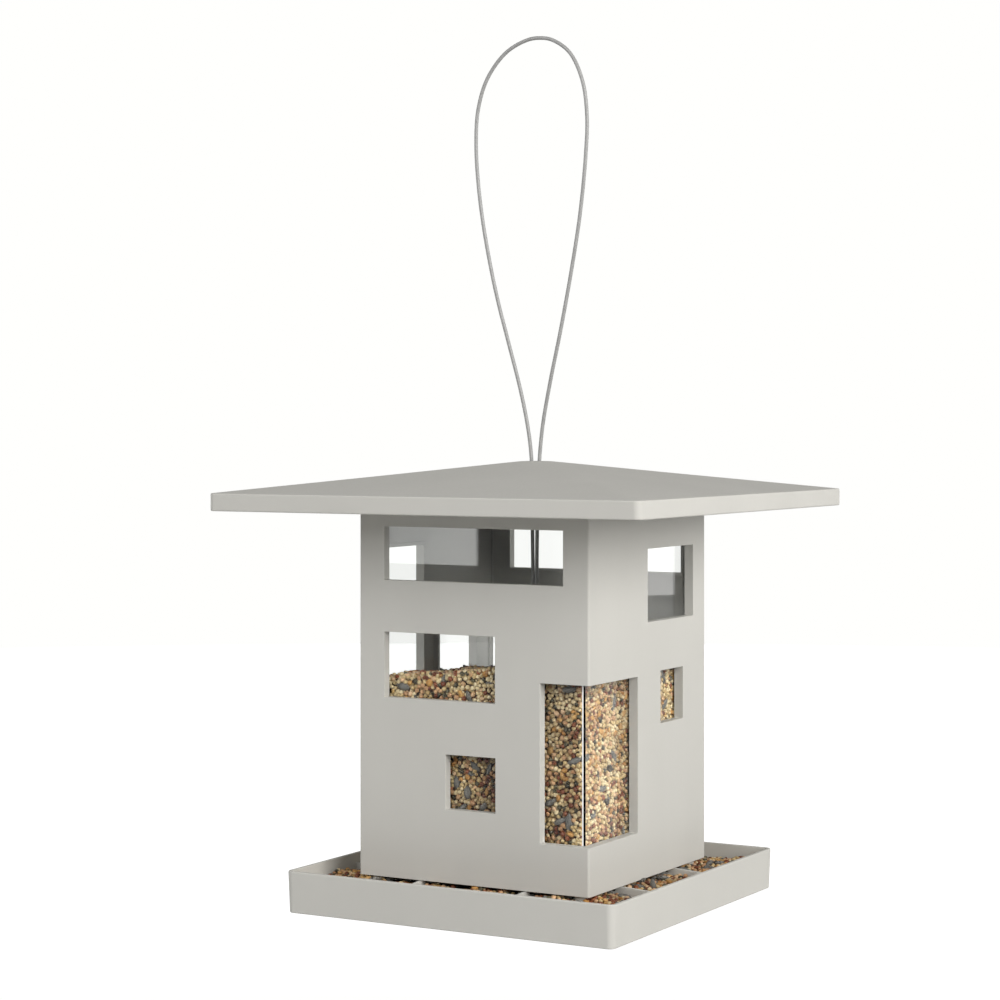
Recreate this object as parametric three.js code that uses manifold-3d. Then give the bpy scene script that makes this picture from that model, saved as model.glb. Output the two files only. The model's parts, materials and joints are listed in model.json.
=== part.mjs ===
// Hanging bird feeder shaped like a small modern house: a tray, a housing with
// window openings, a clear seed hopper inside it, and a wide pyramid roof that
// slides up along the hanging cable for filling. Millimetres, +Z up.
//
// Heights in this file are measured from the underside of the tray. The exported
// group is lowered so that the origin is where the hook bears on the cable loop.

import * as THREE from 'three';
import { mergeVertices } from 'three/addons/utils/BufferGeometryUtils.js';
import Module from 'manifold-3d';

const wasm = await Module();
wasm.setup();

// ---- Driving dimensions ----------------------------------------------------

const GAP = 0.3; // clearance between pieces that rest on each other
const OVERSHOOT = 1; // how far a cutting solid runs past the face it cuts
const CORNER_STEPS = 5; // facets on each rounded vertical corner
const ROUND_STEPS = 24; // facets on small round features

const TRAY_HALF = 108.8;
const TRAY_HEIGHT = 24.7;
const TRAY_WALL = 2.4;
const TRAY_DRAFT = 1; // how much smaller the half width is at the bottom
const TRAY_CORNER_RADIUS = 5;
const FLOOR_THICKNESS = 2.4;

const RIB_OFFSET = 35; // ribs stand this far either side of each face's middle
const RIB_THICKNESS = 2;
const RIB_INNER_END = 60;
const RIB_OUTER_HEIGHT = 18.6;

const HOUSING_HALF = 77;
const HOUSING_WALL = 2.4;
const HOUSING_BOTTOM = 20.7;
const HOUSING_TOP = 248;
const HOUSING_CORNER_RADIUS = 2;

const HOPPER_HALF = 70.8;
const HOPPER_WALL = 2;
const HOPPER_BOTTOM = 18;
const HOPPER_TOP = 236;
const HOPPER_CORNER_RADIUS = 1.2;

const FRAME_WIDTH = 2; // width of the reveal that lines each window
const LUG_SIZE = 11; // square screw lugs in the housing's lower corners
const LUG_HEIGHT = 18;

const ROOF_HALF = 141.3;
const ROOF_BOTTOM = 237.4;
const FASCIA_HEIGHT = 10.4;
const ROOF_APEX = 265.9;
const ROOF_THICKNESS = 2.5;
const ROOF_CORNER_RADIUS = 4.5;
const ROOF_EDGE_BEVEL = 0.6;
const APEX_FLAT_HALF = 6.5;
const CABLE_HOLE_RADIUS = 4.75;
const SKIRT_WALL = 2.2; // square skirt that locates the roof round the housing
const SKIRT_BOTTOM = 240.4;
const REST_PAD_LENGTH = 11; // pads under the roof that rest on the housing's top edge

const CABLE_DIAMETER = 2.3;
const CABLE_SIDES = 8;
const CABLE_STEPS = 80;
const LEG_OFFSET = 1.3; // half the distance between the two parallel legs
const LOOP_TOP = 522;

const BOSS_RADIUS = 16; // raised boss in the tray floor, hollow underneath
const BOSS_WALL = 2.4;
const POCKET_DEPTH = 11;
const WASHER_RADIUS = 9;
const WASHER_THICKNESS = 1.4;
const FERRULE_HEIGHT = 7.5;
const FERRULE_WALL = 1.5;
const LEG_HOLE_RADIUS = 3.2;

const DEFLECTOR_HALF = 56;
const DEFLECTOR_APEX = 34;
const DEFLECTOR_TOP_HALF = 6.5;
const DEFLECTOR_WALL = 2.2;
const DEFLECTOR_RIM = 2; // upright rim along the deflector's base

const SCREW_PITCH = 68.4; // screws stand this far from both centre planes
const POST_RADIUS = 4.6;
const SCREW_RADIUS = 1.5;
const SCREW_HOLE_RADIUS = 1.9;
const SCREW_HEAD_RADIUS = 2.8;
const SCREW_HEAD_HEIGHT = 2.2;
const HEAD_HOLE_RADIUS = 3.2;
const HEAD_SEAT = 12; // height of the seat under the screw head
const SCREW_TIP = 32;
const PILOT_TOP = 34;

// Each window is [from, to, sill, head]: from and to run along the face, seen
// from outside, from left to right of the face's middle.
const FRONT_WINDOWS = [
  [-59.7, 60.1, 196.2, 227.8],
  [-59.7, 15.6, 126.9, 165.6],
  [-17.6, 15.9, 63.6, 95.6],
];
const RIGHT_WINDOWS = [
  [-2.3, 60.1, 171.3, 214.6],
  [14.8, 45.6, 109.9, 141.3],
];
const BACK_WINDOWS = [
  [-62.3, 57, 196.2, 227.8],
  [30, 73.4, 120, 165.6],
  [-40, -8, 63.6, 95.6],
];
const LEFT_WINDOWS = [
  [14, 64.4, 127, 214],
  [-50, -5, 118, 176],
  [-12, 20, 62, 94],
];
// The corner window wraps round the corner between the front and right faces.
const CORNER_WINDOW = { frontFrom: 45.3, rightTo: -15.4, sill: 48.7, head: 140.3 };

// One leg of the cable, the loop, then the other leg, as [x, height].
const CABLE_ROUTE = [
  [-1.3, 9.6], [-1.3, 60], [-1.3, 120], [-1.3, 190], [-1.5, 215], [-1.9, 240],
  [-2.75, 266.5], [-4.7, 283], [-9.9, 307], [-19.4, 340], [-25.4, 360.5],
  [-30.9, 382.5], [-36.8, 412], [-40.2, 437], [-41.6, 460], [-40.2, 481],
  [-33.6, 499.8], [-20.6, 514.7], [-6, 521.3], [3, LOOP_TOP], [12, 520],
  [23.6, 511.6], [32.2, 494], [35.2, 473], [34.4, 450], [30.6, 415],
  [24.9, 382], [17.1, 344], [10.2, 314], [5.1, 288], [2.75, 266.5],
  [1.9, 240], [1.5, 215], [1.3, 190], [1.3, 120], [1.3, 60], [1.3, 9.6],
];

// ---- Materials ---------------------------------------------------------------

const grey = (color, roughness = 0.5) =>
  new THREE.MeshStandardMaterial({ color, roughness, metalness: 0 });
const metal = (color, roughness = 0.35) =>
  new THREE.MeshStandardMaterial({ color, roughness, metalness: 1 });
const clear = () =>
  new THREE.MeshStandardMaterial({
    color: 0xe8edf0,
    roughness: 0.05,
    metalness: 0,
    transparent: true,
    opacity: 0.3,
  });

const HOUSE_GREY = 0xc2c1bb;
const DEFLECTOR_GREY = 0xa9a8a2;
const CABLE_GREY = 0xa9a9a9;
const STEEL = 0xb8babd;
const ALUMINIUM = 0xc9cbcd;

// ---- Geometry helpers --------------------------------------------------------

/** A closed three.js geometry as a manifold solid. */
function solid(geometry) {
  const bare = geometry.clone();
  bare.deleteAttribute('normal');
  bare.deleteAttribute('uv');
  const merged = mergeVertices(bare, 1e-4);
  return new wasm.Manifold(
    new wasm.Mesh({
      numProp: 3,
      vertProperties: new Float32Array(merged.attributes.position.array),
      triVerts: new Uint32Array(merged.index.array),
    }),
  );
}

/** A named mesh from a manifold solid. */
function mesh(name, shape, material) {
  const { vertProperties, triVerts } = shape.getMesh();
  const geometry = new THREE.BufferGeometry();
  geometry.setAttribute('position', new THREE.BufferAttribute(vertProperties, 3));
  geometry.setIndex(new THREE.BufferAttribute(triVerts, 1));
  geometry.computeVertexNormals();
  const result = new THREE.Mesh(geometry, material);
  result.name = name;
  return result;
}

/** The points of a square with rounded corners, centred on the Z axis. */
function roundedSquare({ half, radius, z }) {
  const points = [];
  for (let corner = 0; corner < 4; corner += 1) {
    const start = (corner * Math.PI) / 2;
    const signX = corner === 0 || corner === 3 ? 1 : -1;
    const signY = corner < 2 ? 1 : -1;
    for (let step = 0; step <= CORNER_STEPS; step += 1) {
      const angle = start + (step / CORNER_STEPS) * (Math.PI / 2);
      points.push([
        signX * (half - radius) + radius * Math.cos(angle),
        signY * (half - radius) + radius * Math.sin(angle),
        z,
      ]);
    }
  }
  return points;
}

/** A closed solid through square sections, listed from the bottom up. */
function loft(sections) {
  const rings = sections.map(roundedSquare);
  const count = rings[0].length;
  const positions = rings.flat(2);
  const index = [];
  for (let ring = 0; ring < rings.length - 1; ring += 1) {
    for (let i = 0; i < count; i += 1) {
      const next = (i + 1) % count;
      const a = ring * count + i;
      const b = ring * count + next;
      const c = a + count;
      const d = b + count;
      index.push(a, b, d, a, d, c);
    }
  }
  const top = (rings.length - 1) * count;
  for (let i = 1; i < count - 1; i += 1) {
    index.push(0, i + 1, i);
    index.push(top, top + i, top + i + 1);
  }
  const geometry = new THREE.BufferGeometry();
  geometry.setAttribute('position', new THREE.Float32BufferAttribute(positions, 3));
  geometry.setIndex(index);
  return solid(geometry);
}

/** An upright square prism with rounded corners. */
const prism = (half, radius, low, high) =>
  loft([{ half, radius, z: low }, { half, radius, z: high }]);

/** A box between two opposite corners. */
function box(low, high) {
  const size = high.map((value, axis) => value - low[axis]);
  const geometry = new THREE.BoxGeometry(...size);
  geometry.translate(...high.map((value, axis) => (value + low[axis]) / 2));
  return solid(geometry);
}

/** An upright cylinder. */
function cylinder(radius, low, high, x = 0, y = 0) {
  const geometry = new THREE.CylinderGeometry(radius, radius, high - low, ROUND_STEPS);
  geometry.rotateX(Math.PI / 2);
  geometry.translate(x, y, (low + high) / 2);
  return solid(geometry);
}

/** The same shape on each of the four faces, or on those listed. */
const FACES = [0, 1, 2, 3]; // front, right, back, left
const toFace = (shape, face) => shape.rotate([0, 0, face * 90]);
const onEachFace = (shape, faces = FACES) => faces.map((face) => toFace(shape, face));

const joinAll = (first, ...others) => others.reduce((sum, next) => sum.add(next), first);
const cutAll = (first, ...others) => others.reduce((rest, next) => rest.subtract(next), first);

/** The four corners as signs of x and y. */
const CORNERS = [[1, -1], [1, 1], [-1, 1], [-1, -1]];

// ---- Roof --------------------------------------------------------------------

function makeRoof() {
  const fasciaTop = ROOF_BOTTOM + FASCIA_HEIGHT;
  const shell = loft([
    { half: ROOF_HALF - ROOF_EDGE_BEVEL, radius: ROOF_CORNER_RADIUS, z: ROOF_BOTTOM },
    { half: ROOF_HALF, radius: ROOF_CORNER_RADIUS, z: ROOF_BOTTOM + ROOF_EDGE_BEVEL },
    { half: ROOF_HALF, radius: ROOF_CORNER_RADIUS, z: fasciaTop - ROOF_EDGE_BEVEL },
    { half: ROOF_HALF - ROOF_EDGE_BEVEL, radius: ROOF_CORNER_RADIUS, z: fasciaTop },
    { half: APEX_FLAT_HALF, radius: 1.5, z: ROOF_APEX },
  ]);
  const insideHalf = ROOF_HALF - ROOF_THICKNESS;
  const underside = loft([
    { half: insideHalf, radius: 3, z: ROOF_BOTTOM - OVERSHOOT },
    { half: insideHalf, radius: 3, z: fasciaTop - ROOF_THICKNESS },
    { half: APEX_FLAT_HALF, radius: 1.5, z: ROOF_APEX - ROOF_THICKNESS },
  ]);
  const skirtInside = HOUSING_HALF + 0.5;
  const skirtOutside = skirtInside + SKIRT_WALL;
  const slope = (ROOF_APEX - fasciaTop) / (ROOF_HALF - APEX_FLAT_HALF);
  const shellTopAt = (distance) => ROOF_APEX - (distance - APEX_FLAT_HALF) * slope;
  const skirtTop = shellTopAt(skirtOutside) - ROOF_THICKNESS / 2;
  const skirt = prism(skirtOutside, HOUSING_CORNER_RADIUS, SKIRT_BOTTOM, skirtTop).subtract(
    prism(skirtInside, HOUSING_CORNER_RADIUS, SKIRT_BOTTOM - OVERSHOOT, skirtTop + OVERSHOOT),
  );
  // The roof sits with these pads on the top edge of the housing.
  const restPad = box(
    [-RIB_THICKNESS / 2, -skirtInside - 1, HOUSING_TOP + GAP],
    [RIB_THICKNESS / 2, REST_PAD_LENGTH - skirtInside, skirtTop],
  );
  return cutAll(
    joinAll(shell.subtract(underside), skirt, ...onEachFace(restPad)),
    cylinder(CABLE_HOLE_RADIUS, ROOF_BOTTOM, ROOF_APEX + OVERSHOOT),
  );
}

// ---- Housing -----------------------------------------------------------------

/** A window's reveal, before the opening is cut, for a window on the front face. */
function windowFrame([from, to, sill, head]) {
  const wallInside = HOUSING_HALF - HOUSING_WALL;
  const left = Math.max(from - FRAME_WIDTH, -wallInside);
  const right = Math.min(to + FRAME_WIDTH, wallInside);
  return box(
    [left, -wallInside - OVERSHOOT, sill - FRAME_WIDTH],
    [right, -HOPPER_HALF - GAP, head + FRAME_WIDTH],
  );
}

/** The opening of a window on the front face. */
function windowOpening([from, to, sill, head]) {
  return box([from, -HOUSING_HALF - OVERSHOOT, sill], [to, -HOPPER_HALF, head]);
}

function makeHousing() {
  const inside = HOUSING_HALF - HOUSING_WALL;
  const pane = HOPPER_HALF + GAP;
  const walls = prism(HOUSING_HALF, HOUSING_CORNER_RADIUS, HOUSING_BOTTOM, HOUSING_TOP).subtract(
    prism(inside, 0.5, HOUSING_BOTTOM - OVERSHOOT, HOUSING_TOP + OVERSHOOT),
  );
  const faces = [FRONT_WINDOWS, RIGHT_WINDOWS, BACK_WINDOWS, LEFT_WINDOWS];
  const place = (make) =>
    faces.flatMap((windows, face) => windows.map((window) => toFace(make(window), face)));

  const { frontFrom, rightTo, sill, head } = CORNER_WINDOW;
  const low = sill - FRAME_WIDTH;
  const high = head + FRAME_WIDTH;
  const outside = HOUSING_HALF + OVERSHOOT;
  const cornerFrame = box(
    [frontFrom - FRAME_WIDTH, -inside - OVERSHOOT, low],
    [inside + OVERSHOOT, -pane, high],
  ).add(box([pane, -inside - OVERSHOOT, low], [inside + OVERSHOOT, rightTo + FRAME_WIDTH, high]));
  const cornerOpening = box([frontFrom, -outside, sill], [outside, -HOPPER_HALF, head]).add(
    box([HOPPER_HALF, -outside, sill], [outside, rightTo, head]),
  );

  const lugs = CORNERS.map(([x, y]) => {
    const ends = [inside + OVERSHOOT / 2, inside - LUG_SIZE];
    const xs = ends.map((value) => value * x).sort((a, b) => a - b);
    const ys = ends.map((value) => value * y).sort((a, b) => a - b);
    return box([xs[0], ys[0], HOUSING_BOTTOM], [xs[1], ys[1], HOUSING_BOTTOM + LUG_HEIGHT]);
  });
  const pilots = CORNERS.map(([x, y]) =>
    cylinder(
      SCREW_RADIUS + GAP / 2,
      HOUSING_BOTTOM - OVERSHOOT,
      PILOT_TOP,
      x * SCREW_PITCH,
      y * SCREW_PITCH,
    ),
  );
  return cutAll(
    joinAll(walls, ...place(windowFrame), cornerFrame, ...lugs),
    ...place(windowOpening),
    cornerOpening,
    ...pilots,
  );
}

// ---- Clear hopper ------------------------------------------------------------

function makeHopper() {
  const tube = prism(HOPPER_HALF, HOPPER_CORNER_RADIUS, HOPPER_BOTTOM, HOPPER_TOP).subtract(
    prism(
      HOPPER_HALF - HOPPER_WALL,
      HOPPER_CORNER_RADIUS / 2,
      HOPPER_BOTTOM - OVERSHOOT,
      HOPPER_TOP + OVERSHOOT,
    ),
  );
  // Notches in the lower corners clear the housing's screw lugs.
  const notchStart = HOUSING_HALF - HOUSING_WALL - LUG_SIZE - 2 * GAP;
  const notches = CORNERS.map(([x, y]) => {
    const xs = [x * notchStart, x * HOUSING_HALF].sort((a, b) => a - b);
    const ys = [y * notchStart, y * HOUSING_HALF].sort((a, b) => a - b);
    return box(
      [xs[0], ys[0], HOPPER_BOTTOM - OVERSHOOT],
      [xs[1], ys[1], HOUSING_BOTTOM + LUG_HEIGHT + 2 * GAP],
    );
  });
  return cutAll(tube, ...notches);
}

// ---- Tray --------------------------------------------------------------------

/** One rib across the seed channel in front of the front face. */
function trayRib(offset) {
  const outline = new THREE.Shape();
  outline.moveTo(RIB_INNER_END, FLOOR_THICKNESS / 2);
  outline.lineTo(TRAY_HALF - TRAY_WALL / 2 - TRAY_DRAFT / 2, FLOOR_THICKNESS / 2);
  outline.lineTo(TRAY_HALF - TRAY_WALL / 2, RIB_OUTER_HEIGHT);
  outline.lineTo(HOUSING_HALF + 1.5, HOUSING_BOTTOM - GAP);
  outline.lineTo(HOPPER_HALF + 1.5, HOUSING_BOTTOM - GAP);
  outline.lineTo(HOPPER_HALF + 1.5, HOPPER_BOTTOM - GAP);
  outline.lineTo(RIB_INNER_END, HOPPER_BOTTOM - GAP);
  outline.closePath();
  const geometry = new THREE.ExtrudeGeometry(outline, {
    depth: RIB_THICKNESS,
    bevelEnabled: false,
  });
  geometry.translate(0, 0, -RIB_THICKNESS / 2);
  geometry.rotateX(Math.PI / 2); // outline height becomes +Z, extrusion runs along Y
  geometry.rotateZ(-Math.PI / 2); // outward becomes -Y, the front face
  geometry.translate(offset, 0, 0);
  return solid(geometry);
}

function makeTray() {
  const outer = loft([
    { half: TRAY_HALF - TRAY_DRAFT, radius: TRAY_CORNER_RADIUS, z: 0 },
    { half: TRAY_HALF, radius: TRAY_CORNER_RADIUS, z: TRAY_HEIGHT },
  ]);
  const innerRadius = TRAY_CORNER_RADIUS - TRAY_WALL;
  const hollow = loft([
    {
      half: TRAY_HALF - TRAY_DRAFT - TRAY_WALL,
      radius: innerRadius,
      z: FLOOR_THICKNESS,
    },
    { half: TRAY_HALF - TRAY_WALL, radius: innerRadius, z: TRAY_HEIGHT + OVERSHOOT },
  ]);
  const ribs = [-RIB_OFFSET, RIB_OFFSET].flatMap((offset) => onEachFace(trayRib(offset)));
  const bossTop = POCKET_DEPTH + BOSS_WALL;
  const boss = cylinder(BOSS_RADIUS, FLOOR_THICKNESS / 2, bossTop);
  const posts = CORNERS.map(([x, y]) =>
    cylinder(
      POST_RADIUS,
      FLOOR_THICKNESS / 2,
      HOUSING_BOTTOM - GAP,
      x * SCREW_PITCH,
      y * SCREW_PITCH,
    ),
  );
  const screwHoles = CORNERS.flatMap(([x, y]) => [
    cylinder(SCREW_HOLE_RADIUS, 0, HOUSING_BOTTOM, x * SCREW_PITCH, y * SCREW_PITCH),
    cylinder(HEAD_HOLE_RADIUS, -OVERSHOOT, HEAD_SEAT, x * SCREW_PITCH, y * SCREW_PITCH),
  ]);
  return cutAll(
    joinAll(outer.subtract(hollow), ...ribs, boss, ...posts),
    cylinder(BOSS_RADIUS - BOSS_WALL, -OVERSHOOT, POCKET_DEPTH),
    cylinder(LEG_HOLE_RADIUS, 0, bossTop + OVERSHOOT),
    ...screwHoles,
  );
}

// ---- Seed deflector ----------------------------------------------------------

function makeDeflector() {
  const base = FLOOR_THICKNESS + GAP;
  const outer = loft([
    { half: DEFLECTOR_HALF, radius: 3, z: base },
    { half: DEFLECTOR_HALF, radius: 3, z: base + DEFLECTOR_RIM },
    { half: DEFLECTOR_TOP_HALF, radius: 2, z: DEFLECTOR_APEX },
  ]);
  const inner = loft([
    { half: DEFLECTOR_HALF - DEFLECTOR_WALL, radius: 2, z: base - OVERSHOOT },
    { half: DEFLECTOR_HALF - DEFLECTOR_WALL, radius: 2, z: base + DEFLECTOR_RIM / 2 },
    { half: DEFLECTOR_TOP_HALF, radius: 2, z: DEFLECTOR_APEX - DEFLECTOR_WALL - 0.3 },
  ]);
  const hole = cylinder(LEG_HOLE_RADIUS, base, DEFLECTOR_APEX + OVERSHOOT);
  return cutAll(outer, inner, hole);
}

// ---- Cable and its anchor ----------------------------------------------------

function makeCable() {
  const points = CABLE_ROUTE.map(([x, z]) => new THREE.Vector3(x, 0, z));
  const path = new THREE.CatmullRomCurve3(points, false, 'centripetal');
  const section = new THREE.Shape();
  for (let side = 0; side < CABLE_SIDES; side += 1) {
    const angle = ((side + 0.5) / CABLE_SIDES) * 2 * Math.PI;
    const x = (CABLE_DIAMETER / 2) * Math.cos(angle);
    const y = (CABLE_DIAMETER / 2) * Math.sin(angle);
    if (side === 0) section.moveTo(x, y);
    else section.lineTo(x, y);
  }
  section.closePath();
  return solid(
    new THREE.ExtrudeGeometry(section, { steps: CABLE_STEPS, extrudePath: path }),
  );
}

const WASHER_TOP = POCKET_DEPTH - GAP;
const WASHER_BOTTOM = WASHER_TOP - WASHER_THICKNESS;

function makeWasher() {
  return cylinder(WASHER_RADIUS, WASHER_BOTTOM, WASHER_TOP).subtract(
    cylinder(LEG_HOLE_RADIUS, WASHER_BOTTOM - OVERSHOOT, WASHER_TOP + OVERSHOOT),
  );
}

/** The crimped double ferrule: an oval sleeve that holds both cable ends. */
function makeFerrule() {
  const top = WASHER_BOTTOM - GAP;
  const radius = CABLE_DIAMETER / 2 + FERRULE_WALL;
  const outline = new THREE.Shape();
  outline.absarc(LEG_OFFSET, 0, radius, -Math.PI / 2, Math.PI / 2);
  outline.absarc(-LEG_OFFSET, 0, radius, Math.PI / 2, (3 * Math.PI) / 2);
  outline.closePath();
  const geometry = new THREE.ExtrudeGeometry(outline, {
    depth: FERRULE_HEIGHT,
    bevelEnabled: false,
    curveSegments: ROUND_STEPS / 2,
  });
  geometry.translate(0, 0, top - FERRULE_HEIGHT);
  return solid(geometry);
}

function makeScrew(x, y) {
  const headTop = HEAD_SEAT - GAP;
  return cylinder(
    SCREW_HEAD_RADIUS,
    headTop - SCREW_HEAD_HEIGHT,
    headTop,
    x * SCREW_PITCH,
    y * SCREW_PITCH,
  ).add(cylinder(SCREW_RADIUS, headTop - 1, SCREW_TIP, x * SCREW_PITCH, y * SCREW_PITCH));
}

// ---- Assembly ----------------------------------------------------------------

const group = new THREE.Group();
group.add(
  mesh('roof', makeRoof(), grey(HOUSE_GREY)),
  mesh('housing', makeHousing(), grey(HOUSE_GREY)),
  mesh('clear_hopper', makeHopper(), clear()),
  mesh('tray', makeTray(), grey(HOUSE_GREY)),
  mesh('seed_deflector', makeDeflector(), grey(DEFLECTOR_GREY)),
  mesh('hanging_cable', makeCable(), grey(CABLE_GREY, 0.4)),
  mesh('anchor_washer', makeWasher(), metal(STEEL)),
  mesh('cable_ferrule', makeFerrule(), metal(ALUMINIUM)),
);
const SCREW_NAMES = ['front_right', 'back_right', 'back_left', 'front_left'];
CORNERS.forEach(([x, y], corner) => {
  group.add(mesh(`base_screw_${SCREW_NAMES[corner]}`, makeScrew(x, y), metal(STEEL)));
});
group.position.z = -(LOOP_TOP - CABLE_DIAMETER / 2);

export default group;
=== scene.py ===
"""The looks of a hanging bird feeder shaped like a small modern house.

Everything is in metres in the row frame: the origin is where the hook bears on the
cable loop, +Z is up, -Y is out of the front face and +X out of the right face.
"""

import json
import math
from collections import namedtuple
from contextlib import contextmanager

import bmesh
import bpy
import numpy as np
from mathutils import Euler, Matrix, Vector


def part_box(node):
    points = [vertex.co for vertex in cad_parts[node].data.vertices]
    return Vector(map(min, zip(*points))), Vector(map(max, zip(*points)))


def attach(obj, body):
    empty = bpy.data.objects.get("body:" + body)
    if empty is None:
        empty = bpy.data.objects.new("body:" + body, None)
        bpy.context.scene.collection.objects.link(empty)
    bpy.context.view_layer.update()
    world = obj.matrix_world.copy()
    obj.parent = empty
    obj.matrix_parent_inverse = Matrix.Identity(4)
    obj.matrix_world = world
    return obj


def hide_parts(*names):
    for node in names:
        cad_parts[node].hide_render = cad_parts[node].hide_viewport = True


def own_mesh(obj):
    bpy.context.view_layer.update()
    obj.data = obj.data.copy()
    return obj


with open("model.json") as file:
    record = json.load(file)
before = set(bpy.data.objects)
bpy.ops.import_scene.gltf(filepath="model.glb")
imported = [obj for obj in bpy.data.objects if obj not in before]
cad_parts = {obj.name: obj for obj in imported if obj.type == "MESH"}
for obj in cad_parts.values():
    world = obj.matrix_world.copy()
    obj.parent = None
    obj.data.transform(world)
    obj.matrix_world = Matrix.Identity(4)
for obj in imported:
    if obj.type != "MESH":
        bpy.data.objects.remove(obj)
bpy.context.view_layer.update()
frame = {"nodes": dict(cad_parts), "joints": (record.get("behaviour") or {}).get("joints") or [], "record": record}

MM = 0.001
TRAY_LOW, TRAY_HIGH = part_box("tray")
HOUSING_LOW, HOUSING_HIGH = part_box("housing")
HOPPER_LOW, HOPPER_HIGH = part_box("clear_hopper")
ROOF_LOW, ROOF_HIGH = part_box("roof")
WASHER_LOW, WASHER_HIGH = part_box("anchor_washer")
FERRULE_LOW, FERRULE_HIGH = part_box("cable_ferrule")
GROUND = TRAY_LOW.z  # the underside of the tray

SCREWS = [f"base_screw_{corner}" for corner in ("front_right", "back_right", "back_left", "front_left")]
FACES = ["front", "right", "back", "left"]
OPENING_MARGIN = 0.5 * MM  # the record's window boxes stop this far inside each opening


def up(height_mm):
    """The row-frame height of a point this many millimetres above the tray's underside."""
    return GROUND + height_mm * MM


def height_of(z):
    """The height in millimetres above the tray's underside of a row-frame height."""
    return (z - GROUND) / MM


# ---- Camera ------------------------------------------------------------------

CAMERA_AZIMUTH = math.radians(29.64)
CAMERA_DISTANCE = 1.537
CAMERA_SIDE_STEP = 0.0215
CAMERA_HEIGHT_MM = 290.4
CAMERA_LENS = 91.3
CAMERA_SHIFT_Y = -0.0795


def make_camera():
    data = bpy.data.cameras.new("camera")
    data.lens = CAMERA_LENS
    data.sensor_width = 36
    data.shift_y = CAMERA_SHIFT_Y
    data.clip_start = 0.05
    data.clip_end = 60
    camera = bpy.data.objects.new("camera", data)
    forward = Vector((-math.sin(CAMERA_AZIMUTH), math.cos(CAMERA_AZIMUTH), 0))
    right = Vector((math.cos(CAMERA_AZIMUTH), math.sin(CAMERA_AZIMUTH), 0))
    place = -CAMERA_DISTANCE * forward - CAMERA_SIDE_STEP * right
    camera.location = (place.x, place.y, up(CAMERA_HEIGHT_MM))
    camera.rotation_euler = (math.pi / 2, 0, CAMERA_AZIMUTH)
    bpy.context.scene.collection.objects.link(camera)
    bpy.context.scene.camera = camera


# ---- Materials ---------------------------------------------------------------


def set_inputs(node, values):
    """Sets a node's inputs by name, with _ for each space."""
    for name, value in values.items():
        node.inputs[name.replace("_", " ")].default_value = value


class Nodes:
    """The emptied node tree of a material or a world, with a few helpers.

    A source is a (node, output) pair.
    """

    def __init__(self, owner):
        owner.use_nodes = True
        self.tree = owner.node_tree
        self.tree.nodes.clear()

    def add(self, kind, **inputs):
        node = self.tree.nodes.new("ShaderNode" + kind)
        set_inputs(node, inputs)
        return node

    def link(self, source, node, name):
        self.tree.links.new(source[0].outputs[source[1]], node.inputs[name])

    def feed(self, node, name, value):
        """Links a source to an input, or sets the input to a number or a colour."""
        if isinstance(value, tuple) and isinstance(value[0], bpy.types.Node):
            self.link(value, node, name)
        elif isinstance(value, tuple):
            node.inputs[name].default_value = (*value, 1)
        else:
            node.inputs[name].default_value = value

    def ramp(self, source, stops):
        node = self.add("ValToRGB")
        while len(node.color_ramp.elements) < len(stops):
            node.color_ramp.elements.new(0.5)
        for element, (position, color) in zip(node.color_ramp.elements, stops):
            element.position = position
            element.color = (*color, 1)
        self.link(source, node, "Fac")
        return node, "Color"

    def spread(self, source, low, high, from_low=0.3, from_high=0.7):
        """A value mapped from the usual range of a noise to low..high."""
        node = self.add("MapRange", From_Min=from_low, From_Max=from_high, To_Min=low, To_Max=high)
        self.link(source, node, "Value")
        return node, "Result"

    def math(self, operation, a, b):
        node = self.add("Math")
        node.operation = operation
        self.feed(node, 0, a)
        self.feed(node, 1, b)
        return node, 0

    def seen_straight(self):
        """1 for rays that reach the backdrop with no bounce but through glass, otherwise 0."""
        path = self.add("LightPath")
        direct = self.math("MAXIMUM", (path, "Is Camera Ray"), (path, "Is Transmission Ray"))
        unlit = self.math("LESS_THAN", (path, "Diffuse Depth"), 0.5)
        return self.math("MULTIPLY", direct, unlit)


class Shader(Nodes):
    """A node material with one Principled shader."""

    def __init__(self, name):
        self.material = bpy.data.materials.new(name)
        super().__init__(self.material)
        self.output = self.add("OutputMaterial")
        self.bsdf = self.add("BsdfPrincipled")
        self.link((self.bsdf, "BSDF"), self.output, "Surface")
        self.place = (self.add("TexCoord"), "Object")

    def set(self, **values):
        set_inputs(self.bsdf, values)

    def noise(self, scale, detail=3.0, roughness=0.5, stretch=(1, 1, 1)):
        """A noise in object space; stretch scales each axis, and a low value draws it out."""
        mapping = self.add("Mapping", Scale=stretch)
        self.link(self.place, mapping, "Vector")
        node = self.add("TexNoise", Scale=scale, Detail=detail, Roughness=roughness)
        self.link((mapping, "Vector"), node, "Vector")
        return node, "Fac"

    def attribute(self, name, output):
        node = self.add("Attribute")
        node.attribute_name = name
        return node, output

    def mix(self, a, b, factor, blend="MIX"):
        node = self.add("Mix")
        node.data_type = "RGBA"
        node.blend_type = blend
        for index, value in ((0, factor), (6, a), (7, b)):
            self.feed(node, index, value)
        return node, 2

    def color(self, source):
        self.link(source, self.bsdf, "Base Color")

    def rough(self, source, low, high, **reach):
        self.link(self.spread(source, low, high, **reach), self.bsdf, "Roughness")

    def bump(self, *layers):
        """Bump from (source, strength, distance) layers, one on another."""
        last = None
        for source, strength, distance in layers:
            node = self.add("Bump", Strength=strength, Distance=distance)
            self.link(source, node, "Height")
            if last:
                self.link(last, node, "Normal")
            last = (node, "Normal")
        self.link(last, self.bsdf, "Normal")


def scaled(color, factor):
    return tuple(min(1.0, c * factor) for c in color)


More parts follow.
